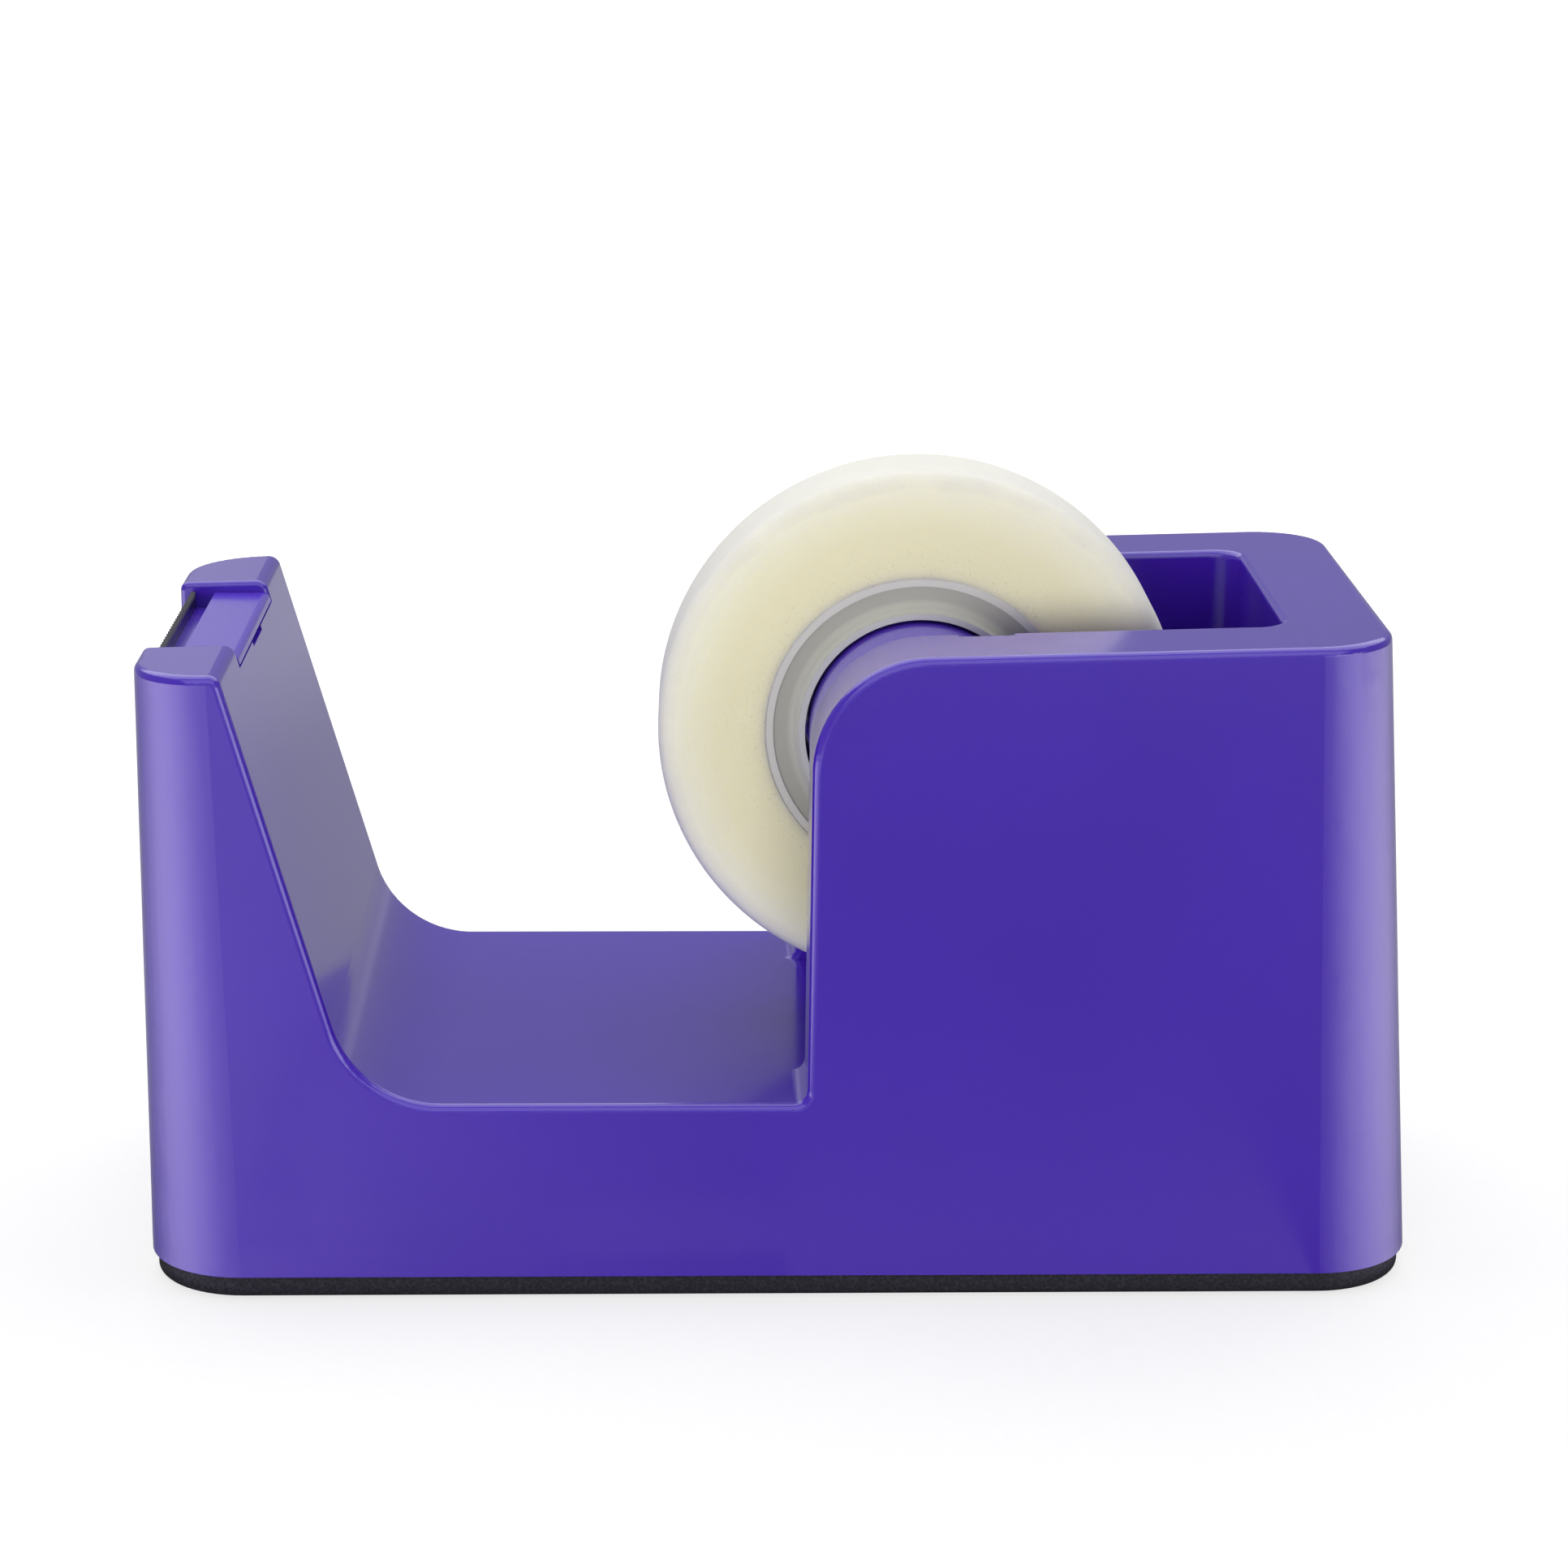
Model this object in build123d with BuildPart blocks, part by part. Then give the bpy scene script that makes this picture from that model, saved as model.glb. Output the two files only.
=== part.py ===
from build123d import *
from math import cos, radians, sin, tan
import os

os.makedirs("parts", exist_ok=True)

# Desk tape dispenser, built as separate pieces. Millimetres.
# X runs from the cutter end to the rear end, Y across, Z up.
# The origin is the middle of the underside, on the desk.

# Overall sizes of the moulded body
body_length = 140.6
body_width = 63.0
front_height = 69.9
rear_height = 73.5
corner_radius = 11.0
top_corner_radius = 8.5
side_draft = 0.89
front_draft = 0.64
rear_draft = 3.85
wall = 2.4
rim_radius = 0.9

# Valley between the cutter tower and the roll block
floor_height = 22.4
tower_depth = 9.85
tower_slope = 15.8
tower_edge_radius = 1.4
valley_radius = 12.0
block_front_x = 2.7
block_front_draft = 0.46
block_foot_radius = 1.5
block_nose_radius = 12.7

# Roll well in the block
well_width = 38.3
well_end_x = 54.5
well_corner_radius = 3.2
well_edge_radius = 0.8

# Roll, its core and the spindle that carries it
roll_axis_x = 15.8
roll_axis_z = 57.9
roll_diameter = 58.9
tape_width = 12.7
tape_edge_radius = 0.4
core_diameter = 34.8
core_bore = 25.9
core_rim = 0.9
core_rim_recess = 0.3
core_web_recess = 0.6
core_lip = 0.7
core_lip_stand = 0.8
core_sweep_radius = 1.3
drum_clearance = 0.4
drum_wall = 2.0
drum_side_play = 0.6
drum_web = 2.4
drum_edge = 0.5
cap_fit = 0.02
cap_thickness = 2.4
stub_diameter = 5.2
stub_clearance = 0.2
stub_length = 1.8
groove_depth = 1.6
groove_slant = 23.5

# Cutter notch, blade and blade holder
notch_width = 31.5
notch_edge_radius = 0.6
ledge_drop = 2.55
ledge_width = 3.2
pocket_drop = 10.6
front_lip_thickness = 1.3
front_lip_drop = 7.0
blade_thickness = 0.5
blade_tip_drop = 1.1
blade_end_gap = 0.2
blade_tooth_pitch = 1.25
blade_tooth_depth = 0.8
holder_fit = 0.15
holder_top_drop = 1.3
holder_foot_height = 7.5
holder_slot = 2.25
holder_edge_radius = 0.8
seam_height = 0.22
seam_depth = 0.6
pry_slot_length = 8.2
pry_slot_height = 0.5
pry_slot_depth = 0.8

# Base, ballast and fasteners
pad_height = 2.6
pad_inset = 0.6
pad_edge_radius = 0.7
plate_thickness = 2.4
plate_fit = 0.2
boss_diameter = 8.0
boss_spacing_x = 86.0
boss_spacing_y = 34.0
boss_middle_x = 4.0
screw_diameter = 3.0
screw_fit = 0.05
screw_head_diameter = 5.6
screw_head_angle = 90.0
base_screw_length = 10.0
ballast_length = 68.0
ballast_width = 46.0
ballast_height = 9.0
ballast_edge_radius = 2.0
ballast_screw_spacing = 40.0
ballast_screw_length = 8.0

# Limits for picking edges to round
flat_span = 0.01
across_share = 0.99
upright_share = 0.9999

# Sizes worked out from the ones above
top_slope = (rear_height - front_height) / body_length
corner_taper = (corner_radius - top_corner_radius) / (rear_height - pad_height)
roll_radius = roll_diameter / 2
core_radius = core_diameter / 2
bore_radius = core_bore / 2
drum_radius = bore_radius - drum_clearance
drum_bore_radius = drum_radius - drum_wall
drum_length = well_width - 2 * drum_side_play
stub_radius = stub_diameter / 2
groove_radius = stub_radius + stub_clearance
plate_top = pad_height + plate_thickness
over_height = 2 * rear_height
boss_middle = (boss_middle_x, 0)
tower_lean = tan(radians(tower_slope))


def top_at(x):
    """Height of the sloping top at a place along X."""
    return front_height + (x + body_length / 2) * top_slope


def front_face_at(z):
    """X of the front end's outer face at a height."""
    return -body_length / 2 + (z - pad_height) * tan(radians(front_draft))


def rear_face_at(z):
    """X of the rear end's outer face at a height."""
    return body_length / 2 - (z - pad_height) * tan(radians(rear_draft))


def half_width_at(z):
    """Half of the outer width at a height."""
    return body_width / 2 - (z - pad_height) * tan(radians(side_draft))


def corner_at(z):
    """Radius of the outer upright corners at a height."""
    return corner_radius - (z - pad_height) * corner_taper


tower_top = top_at(front_face_at(front_height) + tower_depth)
tower_edge_x = front_face_at(tower_top) + tower_depth
front_x = front_face_at(tower_top)
lip_inner_x = front_x + front_lip_thickness
lip_top = tower_top - front_lip_drop
ledge_top = tower_top - ledge_drop
seam_top = ledge_top + seam_height
pocket_floor = tower_top - pocket_drop
pocket_end_x = tower_edge_x - ledge_width
blade_tip = tower_top - blade_tip_drop
blade_back_x = lip_inner_x + blade_thickness
holder_top = tower_top - holder_top_drop
holder_foot_top = pocket_floor + holder_foot_height
holder_front_x = blade_back_x + holder_slot


def incline_at(z):
    """X of the tower's sloping inner face at a height."""
    return tower_edge_x + (tower_top - z) * tower_lean


def drafted_block(inset, bottom, top):
    """Solid with the moulding's leaning sides, drawn in from them by inset."""
    with BuildPart() as block:
        for level in (bottom, top):
            low_x = front_face_at(level) + inset
            high_x = rear_face_at(level) - inset
            with BuildSketch(Plane.XY.offset(level)):
                with Locations(((low_x + high_x) / 2, 0)):
                    RectangleRounded(
                        high_x - low_x,
                        2 * (half_width_at(level) - inset),
                        corner_at(level) - inset,
                    )
        loft(ruled=True)
    return block.part


def profile_block(inset):
    """Side view of the body, drawn in by inset and extruded right across."""
    far = body_length
    nose_x = block_front_x + (rear_height - floor_height) * tan(radians(block_front_draft))
    tower_edge = (tower_edge_x, tower_top)
    valley_foot = (incline_at(floor_height), floor_height)
    block_foot = (block_front_x, floor_height)
    block_nose = (nose_x, top_at(nose_x))
    with BuildPart() as block:
        with BuildSketch(Plane.XZ.offset(-body_width)):
            with BuildLine():
                Polyline(
                    (-far, -far),
                    (-far, top_at(-far)),
                    tower_edge,
                    valley_foot,
                    block_foot,
                    block_nose,
                    (far, top_at(far)),
                    (far, -far),
                    close=True,
                )
            make_face()
            for place, radius in (
                (tower_edge, tower_edge_radius),
                (valley_foot, valley_radius),
                (block_foot, block_foot_radius),
                (block_nose, block_nose_radius),
            ):
                fillet(vertices().sort_by_distance(place)[0], radius)
            if inset:
                offset(amount=-inset)
        extrude(amount=2 * body_width)
    return block.part


def well_block(grow, bottom, top):
    """Space of the roll well, grown outwards by grow, open towards the valley."""
    low_x = block_front_x - 2 * block_foot_radius - grow
    high_x = well_end_x + grow
    half = well_width / 2 + grow
    with BuildPart() as block:
        with BuildSketch(Plane.XY.offset(bottom)) as plan:
            with Locations(((low_x + high_x) / 2, 0)):
                Rectangle(high_x - low_x, 2 * half)
            fillet(plan.vertices().group_by(Axis.X)[-1], well_corner_radius + grow)
        extrude(amount=top - bottom)
    return block.part


def axle_groove(side, grow):
    """Slanted groove for an axle stub in the well's wall on one side."""
    half = groove_radius + grow
    length = rear_height - floor_height
    wall_plane = Plane(
        origin=(roll_axis_x, side * well_width / 2, roll_axis_z),
        x_dir=(sin(radians(groove_slant)), 0, cos(radians(groove_slant))),
        z_dir=(0, side, 0),
    )
    with BuildPart() as groove:
        with BuildSketch(wall_plane):
            Circle(half)
            with Locations((length / 2, 0)):
                Rectangle(length, 2 * half)
        extrude(amount=groove_depth + grow)
    return groove.part


def notch_block(grow):
    """Space of the cutter notch between the two cheeks, grown outwards by grow."""
    half = notch_width / 2 + grow
    outside = front_x - body_width
    inside = tower_edge_x + body_width
    with BuildPart() as block:
        with BuildSketch(Plane.XZ.offset(-half)):
            with BuildLine():
                Polyline(
                    (outside, lip_top - grow),
                    (lip_inner_x - grow, lip_top - grow),
                    (lip_inner_x - grow, pocket_floor - grow),
                    (pocket_end_x + grow, pocket_floor - grow),
                    (pocket_end_x + grow, ledge_top - grow),
                    (inside, ledge_top - grow),
                    (inside, over_height),
                    (outside, over_height),
                    close=True,
                )
            make_face()
        extrude(amount=2 * half)
    return block.part


def screw(length, head_up_to):
    """Countersunk screw standing on its head, with the head's flat face at a height."""
    head_radius = screw_head_diameter / 2
    radius = screw_diameter / 2
    head_height = (head_radius - radius) / tan(radians(screw_head_angle / 2))
    with BuildPart() as one:
        with BuildSketch(Plane.XZ):
            with BuildLine():
                Polyline(
                    (0, head_up_to),
                    (head_radius, head_up_to),
                    (radius, head_up_to + head_height),
                    (radius, head_up_to + length),
                    (0, head_up_to + length),
                    close=True,
                )
            make_face()
        revolve(axis=Axis.Z)
    return one.part


def axle_plane(y):
    """Plane across the roll's axis, with its normal along Y."""
    return Plane(origin=(roll_axis_x, y, roll_axis_z), x_dir=(1, 0, 0), z_dir=(0, 1, 0))


def plate_block():
    """Flat plate that fits inside the shell's lower edge."""
    inset = wall + plate_fit + plate_thickness * tan(radians(rear_draft))
    with BuildPart() as block:
        with BuildSketch(Plane.XY.offset(pad_height)):
            RectangleRounded(
                body_length - 2 * inset,
                body_width - 2 * inset,
                corner_radius - inset,
            )
        extrude(amount=plate_thickness)
    return block.part


roll_axis = Axis((roll_axis_x, 0, roll_axis_z), (0, 1, 0))
plate_blank = plate_block()
base_screw = screw(base_screw_length, pad_height)
ballast_screw = screw(ballast_screw_length, pad_height)
outer = drafted_block(0, pad_height, over_height)
inner = drafted_block(wall, pad_height - wall, over_height)
side = profile_block(0)
inner_side = profile_block(wall)
well = well_block(0, floor_height, over_height)
well_skin = well_block(wall, floor_height - wall, over_height)
notch = notch_block(0)
notch_skin = notch_block(wall)
grooves = [axle_groove(end, 0) for end in (-1, 1)]
groove_skins = [axle_groove(end, wall) for end in (-1, 1)]

# Hollow underneath the moulding
with BuildPart() as hollow:
    add(inner)
    add(inner_side, mode=Mode.INTERSECT)
    add(well_skin, mode=Mode.SUBTRACT)
    add(notch_skin, mode=Mode.SUBTRACT)
    add(groove_skins, mode=Mode.SUBTRACT)
    with BuildSketch(Plane.XY.offset(plate_top)):
        with Locations(boss_middle):
            with GridLocations(boss_spacing_x, boss_spacing_y, 2, 2):
                Circle(boss_diameter / 2)
    extrude(amount=over_height, mode=Mode.SUBTRACT)

with BuildPart() as body_shell:
    add(outer)
    add(side, mode=Mode.INTERSECT)
    rim = body_shell.edges().filter_by(
        lambda edge: edge.bounding_box().min.Z > pad_height + rim_radius
        and not (edge.geom_type == GeomType.LINE and abs(edge.tangent_at(0).Y) > across_share)
    )
    fillet(rim, rim_radius)
    add(well, mode=Mode.SUBTRACT)
    well_rim = body_shell.edges(Select.LAST).filter_by(
        lambda edge: edge.bounding_box().min.Z > floor_height + block_foot_radius / 2
        and abs(edge.tangent_at(0).Z) < upright_share
    )
    fillet(well_rim, well_edge_radius)
    add(grooves, mode=Mode.SUBTRACT)
    add(notch, mode=Mode.SUBTRACT)
    notch_rim = body_shell.edges(Select.LAST).filter_by(
        lambda edge: edge.bounding_box().size.Y < flat_span
        and edge.bounding_box().size.X > flat_span
        and edge.bounding_box().size.Z > flat_span
    )
    fillet(notch_rim, notch_edge_radius)
    with Locations((incline_at(ledge_top), 0, ledge_top)):
        Box(2 * pry_slot_depth, pry_slot_length, 2 * pry_slot_height, mode=Mode.SUBTRACT)
    add(hollow.part, mode=Mode.SUBTRACT)
    with Locations(Plane((boss_middle_x, 0, plate_top), z_dir=(0, 0, -1))):
        with GridLocations(boss_spacing_x, boss_spacing_y, 2, 2):
            Hole(screw_diameter / 2 + screw_fit, base_screw_length + screw_fit)
body_shell.part.label = "body_shell"
export_step(body_shell.part, "parts/body_shell.step")

# Cutter blade, a thin steel strip with a saw edge
tooth_count = round((notch_width - 2 * blade_end_gap) / blade_tooth_pitch)
tooth_width = (notch_width - 2 * blade_end_gap) / tooth_count
blade_start = -notch_width / 2 + blade_end_gap
saw_edge = []
for tooth in range(tooth_count):
    saw_edge.append((blade_start + tooth * tooth_width, blade_tip - blade_tooth_depth))
    saw_edge.append((blade_start + (tooth + 0.5) * tooth_width, blade_tip))
saw_edge.append((-blade_start, blade_tip - blade_tooth_depth))
with BuildPart() as cutter_blade:
    with BuildSketch(Plane.YZ.offset(lip_inner_x)):
        with BuildLine():
            Polyline(
                (blade_start, pocket_floor),
                *saw_edge,
                (-blade_start, pocket_floor),
                close=True,
            )
        make_face()
    extrude(amount=blade_thickness)
cutter_blade.part.label = "cutter_blade"
export_step(cutter_blade.part, "parts/cutter_blade.step")

# Blade holder, the insert that wedges the blade and forms the tape rest
holder_half = notch_width / 2 - holder_fit
with BuildPart() as blade_holder:
    with BuildSketch(Plane.XZ.offset(-holder_half)):
        with BuildLine():
            Polyline(
                (blade_back_x, pocket_floor),
                (blade_back_x, holder_foot_top),
                (holder_front_x, holder_foot_top),
                (holder_front_x, holder_top),
                (incline_at(holder_top), holder_top),
                (incline_at(seam_top), seam_top),
                (incline_at(seam_top) - seam_depth, seam_top),
                (incline_at(seam_top) - seam_depth, ledge_top),
                (pocket_end_x - holder_fit, ledge_top),
                (pocket_end_x - holder_fit, pocket_floor),
                close=True,
            )
        make_face()
        fillet(vertices().sort_by_distance((incline_at(holder_top), holder_top))[0], holder_edge_radius)
    extrude(amount=2 * holder_half)
blade_holder.part.label = "blade_holder"
export_step(blade_holder.part, "parts/blade_holder.step")

# Base plate that closes the hollow underneath
with BuildPart() as base_plate:
    add(plate_blank)
    with Locations(Plane((boss_middle_x, 0, pad_height), z_dir=(0, 0, -1))):
        with GridLocations(boss_spacing_x, boss_spacing_y, 2, 2):
            CounterSinkHole(
                screw_diameter / 2 + screw_fit,
                screw_head_diameter / 2 + screw_fit,
                counter_sink_angle=screw_head_angle,
            )
        with GridLocations(ballast_screw_spacing, 0, 2, 1):
            CounterSinkHole(
                screw_diameter / 2 + screw_fit,
                screw_head_diameter / 2 + screw_fit,
                counter_sink_angle=screw_head_angle,
            )
base_plate.part.label = "base_plate"
export_step(base_plate.part, "parts/base_plate.step")

# Ballast, a cast block on the base plate
with BuildPart() as ballast_weight:
    with BuildSketch(Plane.XY.offset(plate_top)):
        with Locations(boss_middle):
            RectangleRounded(ballast_length, ballast_width, ballast_edge_radius)
    extrude(amount=ballast_height)
    chamfer(ballast_weight.edges().group_by(Axis.Z)[-1], ballast_edge_radius / 2)
    with Locations(Plane((boss_middle_x, 0, plate_top), z_dir=(0, 0, -1))):
        with GridLocations(ballast_screw_spacing, 0, 2, 1):
            Hole(screw_diameter / 2 + screw_fit, ballast_screw_length + screw_fit)
ballast_weight.part.label = "ballast_weight"
export_step(ballast_weight.part, "parts/ballast_weight.step")

# Screws, two groups of separate solids
with BuildPart() as base_screws:
    with Locations(boss_middle):
        with GridLocations(boss_spacing_x, boss_spacing_y, 2, 2):
            add(base_screw)
base_screws.part.label = "base_screws"
export_step(base_screws.part, "parts/base_screws.step")

with BuildPart() as ballast_screws:
    with Locations(boss_middle):
        with GridLocations(ballast_screw_spacing, 0, 2, 1):
            add(ballast_screw)
ballast_screws.part.label = "ballast_screws"
export_step(ballast_screws.part, "parts/ballast_screws.step")

# Anti-slip pad glued under the base
with BuildPart() as anti_slip_pad:
    with BuildSketch(Plane.XY):
        RectangleRounded(
            body_length - 2 * pad_inset,
            body_width - 2 * pad_inset,
            corner_radius - pad_inset,
        )
    extrude(amount=pad_height)
    fillet(anti_slip_pad.edges().group_by(Axis.Z)[0], pad_edge_radius)
anti_slip_pad.part.label = "anti_slip_pad"
export_step(anti_slip_pad.part, "parts/anti_slip_pad.step")

# Spindle drum: an open cup with an axle stub on its closed far end
with BuildPart() as spindle_drum:
    with BuildSketch(axle_plane(-drum_length / 2)):
        Circle(drum_radius)
    extrude(amount=drum_length)
    chamfer(spindle_drum.edges().filter_by(GeomType.CIRCLE), drum_edge)
    with BuildSketch(axle_plane(-drum_length / 2)):
        Circle(drum_bore_radius)
    extrude(amount=drum_length - drum_web, mode=Mode.SUBTRACT)
    with BuildSketch(axle_plane(drum_length / 2)):
        Circle(stub_radius)
    extrude(amount=stub_length)
spindle_drum.part.label = "spindle_drum"
export_step(spindle_drum.part, "parts/spindle_drum.step")

# Spindle cap: the plug with the other axle stub
with BuildPart() as spindle_cap:
    with BuildSketch(axle_plane(-drum_length / 2)):
        Circle(drum_bore_radius - cap_fit)
    extrude(amount=cap_thickness)
    with BuildSketch(axle_plane(-drum_length / 2)):
        Circle(stub_radius)
    extrude(amount=-stub_length)
spindle_cap.part.label = "spindle_cap"
export_step(spindle_cap.part, "parts/spindle_cap.step")

# Tape core: a ring with a thin outer rim, a sunk web and a standing inner lip
core_half = tape_width / 2
lip_foot = (bore_radius + core_lip, core_half - core_web_recess)
with BuildPart() as tape_core:
    with BuildSketch(Plane((roll_axis_x, 0, roll_axis_z))):
        with BuildLine():
            Polyline(
                (bore_radius, 0),
                (bore_radius, core_half + core_lip_stand),
                (bore_radius + core_lip, core_half + core_lip_stand),
                lip_foot,
                (core_radius - core_rim, core_half - core_web_recess),
                (core_radius - core_rim, core_half - core_rim_recess),
                (core_radius, core_half - core_rim_recess),
                (core_radius, 0),
                close=True,
            )
        make_face()
        fillet(vertices().sort_by_distance(lip_foot)[0], core_sweep_radius)
        mirror(about=Plane.XZ)
    revolve(axis=roll_axis)
tape_core.part.label = "tape_core"
export_step(tape_core.part, "parts/tape_core.step")

# Tape wound on the core
with BuildPart() as tape_winding:
    with BuildSketch(axle_plane(-tape_width / 2)):
        Circle(roll_radius)
        Circle(core_radius, mode=Mode.SUBTRACT)
    extrude(amount=tape_width)
    rolled_edges = tape_winding.edges().filter_by(GeomType.CIRCLE).group_by(SortBy.RADIUS)[-1]
    fillet(rolled_edges, tape_edge_radius)
tape_winding.part.label = "tape_winding"
export_step(tape_winding.part, "parts/tape_winding.step")
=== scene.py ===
import math

import bpy
from mathutils import Euler, Matrix, Vector


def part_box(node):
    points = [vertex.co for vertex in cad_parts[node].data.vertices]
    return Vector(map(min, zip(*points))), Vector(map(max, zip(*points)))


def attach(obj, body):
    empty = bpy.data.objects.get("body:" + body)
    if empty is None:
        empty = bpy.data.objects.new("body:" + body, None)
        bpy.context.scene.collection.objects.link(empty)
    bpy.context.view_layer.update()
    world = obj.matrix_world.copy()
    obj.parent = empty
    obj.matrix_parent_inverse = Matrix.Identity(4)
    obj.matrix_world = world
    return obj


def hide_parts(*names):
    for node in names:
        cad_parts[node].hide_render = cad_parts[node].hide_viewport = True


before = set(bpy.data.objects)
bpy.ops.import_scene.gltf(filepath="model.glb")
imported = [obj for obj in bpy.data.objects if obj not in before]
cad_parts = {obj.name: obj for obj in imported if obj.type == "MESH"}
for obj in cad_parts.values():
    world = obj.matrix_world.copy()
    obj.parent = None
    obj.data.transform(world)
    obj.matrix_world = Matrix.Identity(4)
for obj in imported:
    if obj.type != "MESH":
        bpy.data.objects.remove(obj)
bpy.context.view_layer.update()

MM = 0.001

# Camera, as it stood for the photograph
camera_place = Vector((-9.22, -418.4, 167.3)) * MM
camera_pitch = math.radians(15.67)
camera_turn = math.radians(-1.358)
camera_roll = math.radians(0.298)
focal_length = 87.1
sensor_size = 36.0
nearest_seen = 0.01
furthest_seen = 100.0

# Surroundings: the level that each kind of ray sees
backdrop_level = 1.0
reflected_level = 0.32
diffuse_level = 0.26

# Lamps: where each soft box stands, its width and height, and its power
light_target = (0.0, 0.0, 0.04)
top_place = (0.0, 0.35, 0.80)
top_size = (1.8, 1.2)
top_power = 12.4
front_place = (-0.12, -0.80, 0.14)
front_size = (0.7, 0.26)
front_power = 4.2
back_place = (-0.30, 1.0, 0.36)
back_size = (0.26, 0.30)
back_power = 0.06
side_place = (0.30, -0.31, 0.082)
side_target = (-0.05, -0.03, 0.05)
side_size = (0.33, 0.14)
side_power = 0.44
upper_place = (0.0, -0.75, 0.75)
upper_size = (1.6, 0.9)
upper_power = 6.0
end_place = Vector((0.80, -0.15, 0.25))
end_size = (0.6, 0.5)
end_power = 0.9

# Cards lie on the floor at each near corner and along the near side, for the body to reflect.
# Each row starts at the body, inwards of the corner's arc by a length, runs off in degrees from straight in
# front, and glows at a level.
left_card = (
    (0.060, 0.0, 0.0),
    (0.035, 2.5, 0.20),
    (0.020, 4.5, 0.40),
    (0.008, 7.0, 0.70),
    (0.0, 10.0, 0.95),
    (0.0, 18.0, 1.45),
    (0.0, 33.0, 2.3),
    (0.0, 48.0, 3.2),
    (0.0, 63.0, 3.8),
    (0.0, 78.0, 3.6),
    (0.0, 93.0, 2.6),
    (0.0, 108.0, 1.2),
    (0.0, 123.0, 0.35),
    (0.0, 138.0, 0.0),
)
right_card = (
    (0.0, 10.0, 0.0),
    (0.0, 18.0, 0.65),
    (0.0, 33.0, 1.7),
    (0.0, 48.0, 2.7),
    (0.0, 63.0, 3.4),
    (0.0, 78.0, 3.5),
    (0.0, 93.0, 3.0),
    (0.0, 108.0, 2.0),
    (0.0, 123.0, 0.9),
    (0.0, 138.0, 0.2),
    (0.0, 153.0, 0.0),
)
front_card = (
    (0.122, 0.0, 0.40),
    (0.0, 0.0, 0.40),
)
card_colour = (0.95, 0.85, 1.0)

# Middle and radius of the arc that rows on the right start from, and the camera's direction there in degrees
card_middle = Vector((0.0593, -0.0205, 0.0008))
card_radius = 0.011
card_view = 10.0

# How far out each step of a row lies, and the share of the row's level there
front_reach = ((0.0005, 1.0), (0.012, 0.9), (0.05, 0.35), (0.10, 0.0))
corner_reach = (
    (0.0005, 0.74),
    (0.01, 0.78),
    (0.03, 0.82),
    (0.08, 0.92),
    (0.24, 1.0),
    (0.36, 1.0),
    (0.50, 0.0),
)

# Floor: how much white the camera sees added near the object, where its shadow falls, and further off
floor_half = 4.0
floor_glow_near = 0.70
floor_glow_far = 1.0
floor_near = 0.15
floor_far = 0.40

# Floor: white added in reflections, from nothing near the object to this much further off
floor_mirrored = 0.17
mirrored_near = 0.31
mirrored_far = 0.44

# Colours of the plastics and steels, as linear shares of red, green and blue
body_purple = (0.050, 0.0118, 0.395)
holder_purple = (0.068, 0.017, 0.50)
# The spindle's purple is lighter than the body's purple: painted light, standing in for light that its
# shaded place between the roll and the wall lacks
spindle_purple_painted_light = (0.088, 0.030, 0.54)
screw_grey = (0.55, 0.55, 0.57)
blade_grey = (0.07, 0.07, 0.08)

# Roll sizes that the winding's mesh needs beyond its node's box, with the waves that shift its layers
winding_segments = 256
winding_edge = 1.5 * MM
winding_edge_steps = 6
layer_step = 0.45 * MM
layer_shift = 0.035 * MM
layer_wave = 2.4
layer_beat = 0.7
layer_groove = 0.3 * MM
core_bore = 25.9 * MM

# Pad sizes that its mesh needs beyond its node's box
pad_corner = 10.4 * MM
pad_corner_steps = 16
pad_edge = 0.7 * MM
pad_edge_steps = 5

# Meshes are shaded smooth across edges that turn less than this many degrees
sharp_turn = 40.0

# Sockets of the colour mix node
mix_first = 6
mix_second = 7
mix_result = 2


def make_camera():
    """Puts the camera where the photograph was taken from."""
    data = bpy.data.cameras.new("photo_camera")
    data.sensor_width = sensor_size
    data.lens = focal_length
    data.clip_start = nearest_seen
    data.clip_end = furthest_seen
    camera = bpy.data.objects.new("photo_camera", data)
    bpy.context.scene.collection.objects.link(camera)
    aim = Euler((math.pi / 2 - camera_pitch, 0.0, camera_turn)).to_matrix()
    roll = Matrix.Rotation(camera_roll, 3, "Z")
    camera.matrix_world = Matrix.Translation(camera_place) @ (aim @ roll).to_4x4()
    bpy.context.scene.camera = camera


def area_light(name, place, target, size, power):
    """Adds a soft rectangular lamp that the camera doesn't see, at a place and facing a target."""
    data = bpy.data.lights.new(name, "AREA")
    data.shape = "RECTANGLE"
    data.size = size[0]
    data.size_y = size[1]
    data.energy = power
    lamp = bpy.data.objects.new(name, data)
    lamp.location = place
    lamp.rotation_euler = (Vector(target) - Vector(place)).to_track_quat("-Z", "Y").to_euler()
    lamp.visible_camera = False
    bpy.context.scene.collection.objects.link(lamp)
    return lamp


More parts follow.
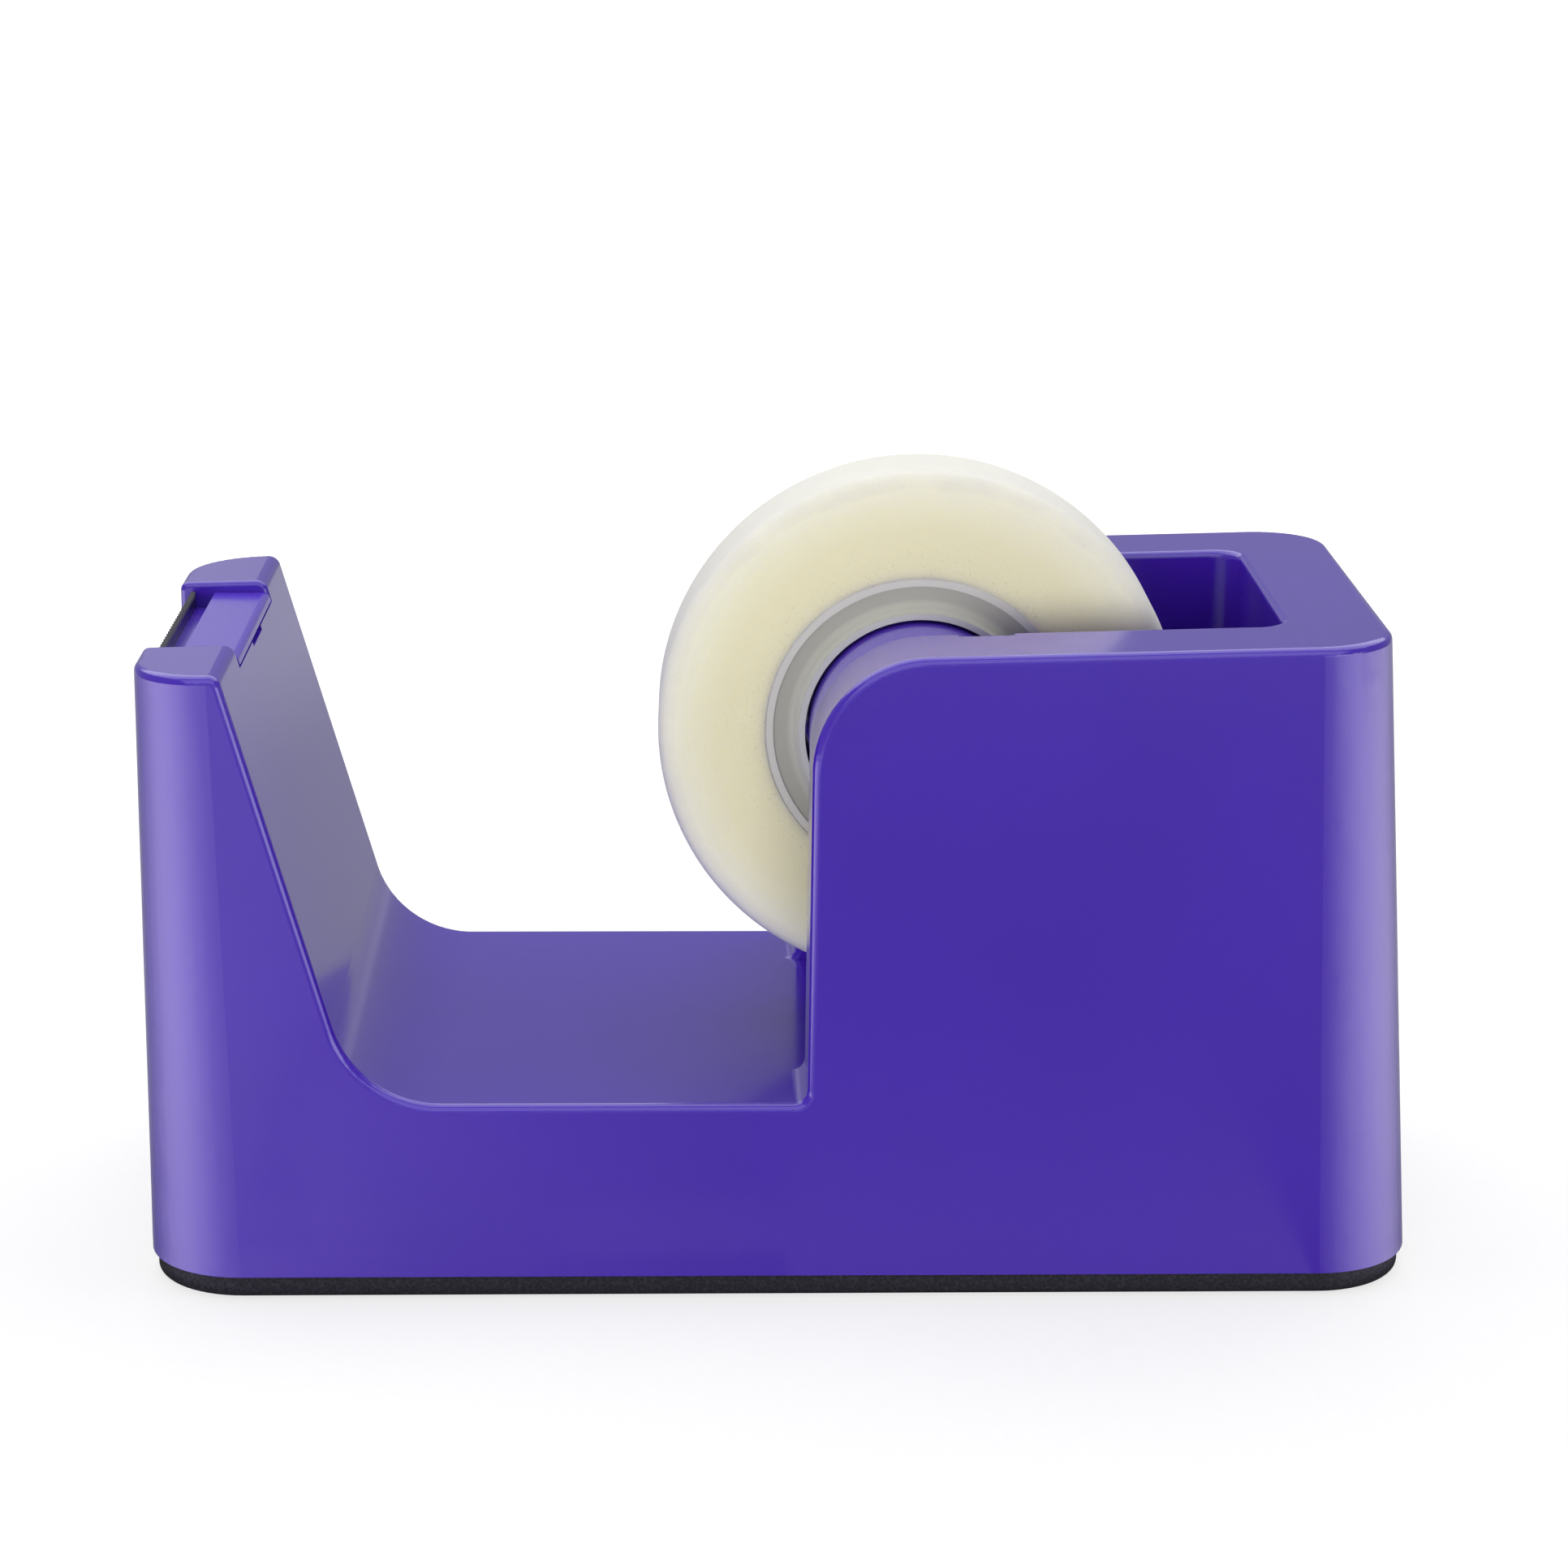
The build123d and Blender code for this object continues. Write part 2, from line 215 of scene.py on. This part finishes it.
def make_world():
    """White surroundings for the camera, with lower levels for reflections and for diffuse light."""
    world = bpy.data.worlds.new("studio")
    bpy.context.scene.world = world
    world.use_nodes = True
    nodes = world.node_tree.nodes
    links = world.node_tree.links
    nodes.clear()
    path = nodes.new("ShaderNodeLightPath")
    shader = None
    for level, ray in (
        (diffuse_level, None),
        (reflected_level, "Is Glossy Ray"),
        (reflected_level, "Is Transmission Ray"),
        (backdrop_level, "Is Camera Ray"),
    ):
        background = nodes.new("ShaderNodeBackground")
        background.inputs["Color"].default_value = (1.0, 1.0, 1.0, 1.0)
        background.inputs["Strength"].default_value = level
        if ray is None:
            shader = background.outputs[0]
            continue
        mix = nodes.new("ShaderNodeMixShader")
        links.new(path.outputs[ray], mix.inputs["Fac"])
        links.new(shader, mix.inputs[1])
        links.new(background.outputs[0], mix.inputs[2])
        shader = mix.outputs[0]
    output = nodes.new("ShaderNodeOutputWorld")
    links.new(shader, output.inputs["Surface"])


class Finish:
    """A new node material with a Principled shader, and short ways to add nodes to it."""

    def __init__(self, name):
        self.material = bpy.data.materials.new(name)
        self.material.use_nodes = True
        self.nodes = self.material.node_tree.nodes
        self.links = self.material.node_tree.links
        self.nodes.clear()
        self.shader = self.nodes.new("ShaderNodeBsdfPrincipled")
        self.output = self.nodes.new("ShaderNodeOutputMaterial")
        self.links.new(self.shader.outputs["BSDF"], self.output.inputs["Surface"])
        self.coordinates = self.nodes.new("ShaderNodeTexCoord").outputs["Object"]

    def set(self, socket, value):
        self.shader.inputs[socket].default_value = value

    def drive(self, output, socket):
        self.links.new(output, self.shader.inputs[socket])

    def noise(self, scale, detail=2.0, roughness=0.5, vector=None):
        node = self.nodes.new("ShaderNodeTexNoise")
        node.inputs["Scale"].default_value = scale
        node.inputs["Detail"].default_value = detail
        node.inputs["Roughness"].default_value = roughness
        self.links.new(vector or self.coordinates, node.inputs["Vector"])
        return node.outputs["Fac"]

    def spread(self, value, low, high, from_low=0.0, from_high=1.0):
        node = self.nodes.new("ShaderNodeMapRange")
        node.inputs["From Min"].default_value = from_low
        node.inputs["From Max"].default_value = from_high
        node.inputs["To Min"].default_value = low
        node.inputs["To Max"].default_value = high
        self.links.new(value, node.inputs["Value"])
        return node.outputs["Result"]

    def ramp(self, value, stops):
        node = self.nodes.new("ShaderNodeValToRGB")
        elements = node.color_ramp.elements
        while len(elements) < len(stops):
            elements.new(0.5)
        for element, (place, colour) in zip(elements, stops):
            element.position = place
            element.color = (*colour, 1.0)
        self.links.new(value, node.inputs["Fac"])
        return node.outputs["Color"]

    def blend(self, share, colour, other):
        node = self.nodes.new("ShaderNodeMix")
        node.data_type = "RGBA"
        self.links.new(share, node.inputs["Factor"])
        self.links.new(colour, node.inputs[mix_first])
        node.inputs[mix_second].default_value = (*other, 1.0)
        return node.outputs[mix_result]

    def math(self, operation, first, second):
        node = self.nodes.new("ShaderNodeMath")
        node.operation = operation
        for socket, value in zip(node.inputs, (first, second)):
            if isinstance(value, (int, float)):
                socket.default_value = value
            else:
                self.links.new(value, socket)
        return node.outputs[0]

    def bump(self, height, strength, distance):
        node = self.nodes.new("ShaderNodeBump")
        node.inputs["Strength"].default_value = strength
        node.inputs["Distance"].default_value = distance
        self.links.new(height, node.inputs["Height"])
        self.links.new(node.outputs["Normal"], self.shader.inputs["Normal"])

    def place(self, point, axes):
        """Object coordinates measured from a point, with some axes left out."""
        moved = self.nodes.new("ShaderNodeVectorMath")
        moved.operation = "SUBTRACT"
        self.links.new(self.coordinates, moved.inputs[0])
        moved.inputs[1].default_value = point
        kept = self.nodes.new("ShaderNodeVectorMath")
        kept.operation = "MULTIPLY"
        self.links.new(moved.outputs[0], kept.inputs[0])
        kept.inputs[1].default_value = axes
        return kept.outputs[0]

    def length(self, vector):
        node = self.nodes.new("ShaderNodeVectorMath")
        node.operation = "LENGTH"
        self.links.new(vector, node.inputs[0])
        return node.outputs["Value"]


def purple_plastic(name, colour, roughness):
    """Glossy injection-moulded plastic with a faint flow pattern and orange peel."""
    finish = Finish(name)
    flow = finish.noise(scale=35.0, detail=3.0)
    dark = tuple(channel * 0.96 for channel in colour)
    light = tuple(channel * 1.04 for channel in colour)
    finish.drive(finish.ramp(flow, ((0.30, dark), (0.70, light))), "Base Color")
    fine = finish.noise(scale=900.0)
    finish.drive(finish.spread(fine, low=roughness - 0.03, high=roughness + 0.03), "Roughness")
    finish.bump(finish.noise(scale=420.0), strength=0.05, distance=0.02 * MM)
    finish.set("IOR", 1.45)
    finish.set("Coat Weight", 0.55)
    finish.set("Coat Roughness", 0.13)
    finish.set("Coat IOR", 1.5)
    return finish.material


def tape_film(name, middle, inner, outer):
    """Wound clear film: cream through its layers, greyer at the outer rim, with lint near the core."""
    finish = Finish(name)
    across = finish.place(middle, (1.0, 0.0, 1.0))
    radius = finish.length(across)
    share = finish.spread(radius, low=0.0, high=1.0, from_low=inner, from_high=outer)
    cloud = finish.noise(scale=260.0, detail=3.0)
    mottled = finish.math("ADD", share, finish.spread(cloud, low=-0.05, high=0.05))
    layered = finish.ramp(
        mottled,
        (
            (0.00, (0.84, 0.80, 0.53)),
            (0.10, (0.87, 0.83, 0.56)),
            (0.45, (0.89, 0.85, 0.59)),
            (0.65, (0.92, 0.89, 0.66)),
            (0.82, (0.92, 0.895, 0.735)),
            (1.00, (0.70, 0.69, 0.64)),
        ),
    )
    specks = finish.noise(scale=3200.0, detail=3.0)
    lint = finish.spread(specks, low=0.0, high=1.0, from_low=0.60, from_high=0.70)
    near_core = finish.spread(share, low=0.30, high=0.05, from_low=0.0, from_high=0.4)
    caught = finish.math("MULTIPLY", lint, near_core)
    finish.drive(finish.blend(caught, layered, (0.42, 0.38, 0.20)), "Base Color")
    layers = finish.math("SINE", finish.math("MULTIPLY", radius, 2.0 * math.pi / layer_groove), 0.0)
    grain = finish.noise(scale=1500.0, detail=3.0)
    finish.bump(finish.math("ADD", layers, grain), strength=0.12, distance=0.03 * MM)
    finish.drive(finish.spread(grain, low=0.60, high=0.75), "Roughness")
    finish.set("IOR", 1.45)
    finish.set("Subsurface Weight", 1.0)
    finish.set("Subsurface Radius", (1.0, 1.0, 0.95))
    finish.set("Subsurface Scale", 2.0 * MM)
    finish.set("Specular IOR Level", 0.2)
    return finish.material


def core_plastic(name, middle, outer, bore):
    """Satin plastic of the tape's core: paler at the rim and the lip, greyer across the web between them,
    with moulding haze.
    """
    finish = Finish(name)
    radius = finish.length(finish.place(middle, (1.0, 0.0, 1.0)))
    share = finish.spread(radius, low=0.0, high=1.0, from_low=bore, from_high=outer)
    haze = finish.noise(scale=160.0, detail=3.0)
    hazed = finish.math("ADD", share, finish.spread(haze, low=-0.01, high=0.01))
    finish.drive(
        finish.ramp(
            hazed,
            (
                (0.00, (0.60, 0.60, 0.55)),
                (0.18, (0.60, 0.60, 0.55)),
                (0.26, (0.48, 0.48, 0.42)),
                (0.50, (0.42, 0.415, 0.345)),
                (0.78, (0.41, 0.405, 0.335)),
                (0.81, (0.62, 0.61, 0.54)),
                (1.00, (0.66, 0.65, 0.58)),
            ),
        ),
        "Base Color",
    )
    finish.drive(finish.spread(finish.noise(scale=700.0), low=0.30, high=0.40), "Roughness")
    finish.bump(finish.noise(scale=900.0), strength=0.08, distance=0.02 * MM)
    finish.set("IOR", 1.46)
    return finish.material


def foam_rubber(name):
    """Black closed-cell foam with fine open cells at its cut edge."""
    finish = Finish(name)
    cells = finish.nodes.new("ShaderNodeTexVoronoi")
    cells.inputs["Scale"].default_value = 2600.0
    finish.links.new(finish.coordinates, cells.inputs["Vector"])
    finish.drive(
        finish.ramp(
            cells.outputs["Distance"],
            ((0.0, (0.009, 0.009, 0.012)), (0.6, (0.019, 0.018, 0.026)), (1.0, (0.030, 0.028, 0.038))),
        ),
        "Base Color",
    )
    finish.drive(finish.spread(cells.outputs["Distance"], low=0.75, high=0.60), "Roughness")
    finish.bump(cells.outputs["Distance"], strength=0.25, distance=0.05 * MM)
    finish.set("Specular IOR Level", 0.2)
    return finish.material


def steel(name, colour, roughness, streak):
    """Steel with a grain that is drawn out along the axes with small numbers in streak."""
    finish = Finish(name)
    stretched = finish.place((0.0, 0.0, 0.0), streak)
    grain = finish.noise(scale=2400.0, detail=3.0, roughness=0.6, vector=stretched)
    dark = tuple(channel * 0.8 for channel in colour)
    light = tuple(channel * 1.2 for channel in colour)
    finish.drive(finish.ramp(grain, ((0.25, dark), (0.75, light))), "Base Color")
    finish.drive(finish.spread(grain, low=roughness - 0.08, high=roughness + 0.08), "Roughness")
    finish.bump(grain, strength=0.08, distance=0.01 * MM)
    finish.set("Metallic", 1.0)
    return finish.material


def cast_iron(name):
    """Rough grey casting for the hidden ballast."""
    finish = Finish(name)
    sand = finish.noise(scale=1200.0, detail=4.0, roughness=0.6)
    finish.drive(
        finish.ramp(sand, ((0.30, (0.045, 0.045, 0.045)), (0.70, (0.12, 0.12, 0.12)))),
        "Base Color",
    )
    finish.drive(finish.spread(sand, low=0.55, high=0.75), "Roughness")
    finish.bump(sand, strength=0.4, distance=0.15 * MM)
    finish.set("Metallic", 0.7)
    return finish.material


def dark_plastic(name):
    """Matt black plastic with a fine spark-eroded grain."""
    finish = Finish(name)
    grain = finish.noise(scale=1800.0, detail=3.0)
    finish.drive(
        finish.ramp(grain, ((0.30, (0.018, 0.018, 0.020)), (0.70, (0.032, 0.032, 0.036)))),
        "Base Color",
    )
    finish.drive(finish.spread(grain, low=0.50, high=0.65), "Roughness")
    finish.bump(grain, strength=0.2, distance=0.04 * MM)
    return finish.material


def floor_paper(name):
    """Pale seamless paper that the camera sees as white, with the object's shadow kept on it."""
    finish = Finish(name)
    fibre = finish.noise(scale=600.0, detail=3.0)
    finish.drive(
        finish.ramp(fibre, ((0.30, (0.30, 0.30, 0.30)), (0.70, (0.32, 0.32, 0.32)))),
        "Base Color",
    )
    finish.set("Roughness", 0.9)
    finish.set("Specular IOR Level", 0.0)
    distance = finish.length(finish.coordinates)
    glow = finish.spread(distance, floor_glow_near, floor_glow_far, floor_near, floor_far)
    path = finish.nodes.new("ShaderNodeLightPath").outputs
    mirrored = finish.math("ADD", path["Is Glossy Ray"], path["Is Transmission Ray"])
    shine = finish.spread(distance, 0.0, floor_mirrored, mirrored_near, mirrored_far)
    seen = finish.math("MULTIPLY", glow, path["Is Camera Ray"])
    finish.set("Emission Color", (1.0, 1.0, 1.0, 1.0))
    finish.drive(finish.math("ADD", seen, finish.math("MULTIPLY", shine, mirrored)), "Emission Strength")
    return finish.material


def mesh_object(name, vertices, faces):
    """New smooth-shaded mesh object in the scene."""
    mesh = bpy.data.meshes.new(name)
    mesh.from_pydata(vertices, [], faces)
    mesh.validate()
    mesh.shade_smooth()
    piece = bpy.data.objects.new(name, mesh)
    bpy.context.scene.collection.objects.link(piece)
    return piece


def keep_corners(piece):
    """Shades a mesh smooth except across its sharp edges."""
    piece.data.set_sharp_from_angle(angle=math.radians(sharp_turn))


def winding_outline(inner, outer, low, high):
    """Half section of the winding as (radius, y) points, from the far bore edge round to the near one."""
    layer_count = int((outer - inner - winding_edge) / layer_step)
    side = []
    for layer in range(layer_count + 1):
        radius = inner + layer * (outer - inner - winding_edge) / layer_count
        shift = layer_shift * (1.0 + math.sin(layer * layer_wave) * math.cos(layer * layer_beat)) / 2
        side.append((radius, shift))
    far = [(radius, high - shift) for radius, shift in side]
    near = [(radius, low + shift) for radius, shift in reversed(side)]
    tread = []
    for step in range(winding_edge_steps + 1):
        angle = math.pi / 2 * step / winding_edge_steps
        tread.append((math.sin(angle), math.cos(angle)))
    far_edge = [
        (outer - winding_edge + winding_edge * out, high - winding_edge + winding_edge * up)
        for out, up in tread
    ]
    near_edge = [
        (outer - winding_edge + winding_edge * out, low + winding_edge - winding_edge * up)
        for out, up in reversed(tread)
    ]
    return far[:-1] + far_edge + near_edge + near[1:]


def make_winding():
    """Tape wound on its core, with layers that stand a hair apart on both sides."""
    low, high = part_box("tape_winding")
    core_low, core_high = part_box("tape_core")
    middle = (Vector(low) + Vector(high)) / 2
    outer = (high[0] - low[0]) / 2
    inner = (core_high[0] - core_low[0]) / 2
    outline = winding_outline(inner, outer, low[1], high[1])
    count = len(outline)
    vertices = []
    for segment in range(winding_segments):
        angle = 2.0 * math.pi * segment / winding_segments
        for radius, y in outline:
            vertices.append((middle.x + radius * math.cos(angle), y, middle.z + radius * math.sin(angle)))
    faces = []
    for segment in range(winding_segments):
        start = segment * count
        following = (segment + 1) % winding_segments * count
        for point in range(count):
            after = (point + 1) % count
            faces.append((start + point, following + point, following + after, start + after))
    piece = mesh_object("tape_roll_winding", vertices, faces)
    keep_corners(piece)
    piece.data.materials.append(tape_film("tape_film", middle, inner, outer))
    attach(piece, "tape_roll")
    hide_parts("tape_winding")


def rounded_outline(low, high, inset):
    """Rounded rectangle in plan, drawn in by inset."""
    points = []
    radius = pad_corner - inset
    corners = ((high[0], high[1]), (low[0], high[1]), (low[0], low[1]), (high[0], low[1]))
    for quarter, (x, y) in enumerate(corners):
        centre_x = x - math.copysign(pad_corner, x)
        centre_y = y - math.copysign(pad_corner, y)
        for step in range(pad_corner_steps + 1):
            angle = math.pi / 2 * (quarter + step / pad_corner_steps)
            points.append((centre_x + radius * math.cos(angle), centre_y + radius * math.sin(angle)))
    return points


def make_pad():
    """Foam pad under the base, with its lower edge pressed round."""
    low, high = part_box("anti_slip_pad")
    rings = [(pad_edge, low[2])]
    for step in range(1, pad_edge_steps + 1):
        angle = math.pi / 2 * step / pad_edge_steps
        rings.append((pad_edge * (1.0 - math.sin(angle)), low[2] + pad_edge * (1.0 - math.cos(angle))))
    rings.append((0.0, high[2] - pad_edge / 2))
    rings.append((pad_edge / 4, high[2]))
    vertices = []
    for inset, level in rings:
        vertices.extend((x, y, level) for x, y in rounded_outline(low, high, inset))
    count = len(vertices) // len(rings)
    faces = [tuple(reversed(range(count)))]
    for ring in range(len(rings) - 1):
        for point in range(count):
            after = (point + 1) % count
            lower = ring * count
            upper = lower + count
            faces.append((lower + point, lower + after, upper + after, upper + point))
    faces.append(tuple(range(len(vertices) - count, len(vertices))))
    piece = mesh_object("foam_pad", vertices, faces)
    keep_corners(piece)
    piece.data.materials.append(foam_rubber("foam_rubber"))
    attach(piece, "dispenser_body")
    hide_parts("anti_slip_pad")


def core_sizes():
    """Middle of the roll, and the core's outer radius and bore radius."""
    low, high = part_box("tape_core")
    middle = (Vector(low) + Vector(high)) / 2
    return middle, (high[0] - low[0]) / 2, core_bore / 2


def dress_nodes():
    """Gives each CAD node that stays its own node material."""
    purple = purple_plastic("purple_plastic", body_purple, roughness=0.20)
    screw_steel = steel("screw_steel", screw_grey, roughness=0.32, streak=(1.0, 1.0, 0.2))
    finishes = {
        "body_shell": purple,
        "blade_holder": purple_plastic("holder_plastic", holder_purple, roughness=0.26),
        # The drum and its cap take the lighter purple with painted light
        "spindle_drum": purple_plastic("spindle_plastic_painted_light", spindle_purple_painted_light, roughness=0.30),
        "spindle_cap": purple_plastic("cap_plastic_painted_light", spindle_purple_painted_light, roughness=0.30),
        "base_plate": dark_plastic("dark_plastic"),
        "ballast_weight": cast_iron("cast_weight"),
        "base_screws": screw_steel,
        "ballast_screws": screw_steel,
        "cutter_blade": steel("blade_steel", blade_grey, roughness=0.30, streak=(1.0, 0.1, 1.0)),
        "tape_core": core_plastic("core_plastic", *core_sizes()),
    }
    for node, material in finishes.items():
        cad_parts[node].data.materials[0] = material


def make_floor():
    """Large pale floor under the object."""
    corners = [
        (-floor_half, -floor_half, 0.0),
        (floor_half, -floor_half, 0.0),
        (floor_half, floor_half, 0.0),
        (-floor_half, floor_half, 0.0),
    ]
    piece = mesh_object("studio_floor", corners, [(0, 1, 2, 3)])
    piece.data.materials.append(floor_paper("floor_paper"))


def card_glow(name):
    """Light added to what lies behind a card, at the level stored in its mesh."""
    material = bpy.data.materials.new(name)
    material.use_nodes = True
    nodes = material.node_tree.nodes
    links = material.node_tree.links
    nodes.clear()
    level = nodes.new("ShaderNodeAttribute")
    level.attribute_name = "glow"
    glow = nodes.new("ShaderNodeEmission")
    glow.inputs["Color"].default_value = (*card_colour, 1.0)
    links.new(level.outputs["Fac"], glow.inputs["Strength"])
    clear = nodes.new("ShaderNodeBsdfTransparent")
    both = nodes.new("ShaderNodeAddShader")
    links.new(glow.outputs[0], both.inputs[0])
    links.new(clear.outputs[0], both.inputs[1])
    output = nodes.new("ShaderNodeOutputMaterial")
    links.new(both.outputs[0], output.inputs["Surface"])
    return material


def floor_card(name, side, rows, steps, material):
    """Lays a card beside the body that only shows in reflections and fades outwards."""
    vertices = []
    glow = []
    for inwards, turn, level in rows:
        spot = math.radians(max(turn - card_view, 0.0) / 2)
        angle = math.radians(turn)
        start = card_middle + card_radius * Vector((math.sin(spot), -math.cos(spot), 0.0))
        start.x -= inwards
        for reach, share in steps:
            point = start + reach * Vector((math.sin(angle), -math.cos(angle), 0.0))
            vertices.append((side * point.x, point.y, point.z))
            glow.append(level * share)
    across = len(steps)
    faces = []
    for row in range(len(rows) - 1):
        for step in range(across - 1):
            corner = row * across + step
            faces.append((corner, corner + 1, corner + across + 1, corner + across))
    piece = mesh_object(name, vertices, faces)
    piece.data.attributes.new("glow", "FLOAT", "POINT").data.foreach_set("value", glow)
    piece.data.materials.append(material)
    piece.visible_camera = False
    piece.visible_diffuse = False
    piece.visible_shadow = False


def light_studio():
    """Soft light from above, behind, in front, one side and both ends, and cards on the floor."""
    area_light("top_softbox", top_place, light_target, top_size, top_power)
    front = area_light("front_softbox", front_place, light_target, front_size, front_power)
    front.visible_glossy = False
    area_light("back_softbox", back_place, light_target, back_size, back_power)
    side = area_light("side_softbox", side_place, side_target, side_size, side_power)
    side.visible_diffuse = False
    upper = area_light("upper_softbox", upper_place, light_target, upper_size, upper_power)
    upper.visible_diffuse = False
    for end in (-1.0, 1.0):
        place = (end * end_place.x, end_place.y, end_place.z)
        fill = area_light("end_softbox", place, light_target, end_size, end_power)
        fill.visible_glossy = False
    glow = card_glow("card_glow")
    floor_card("left_card", -1.0, left_card, corner_reach, glow)
    floor_card("right_card", 1.0, right_card, corner_reach, glow)
    floor_card("front_card", 1.0, front_card, front_reach, glow)


make_camera()
make_world()
light_studio()
make_floor()
dress_nodes()
make_winding()
make_pad()

bpy.context.scene.view_settings.view_transform = "Standard"
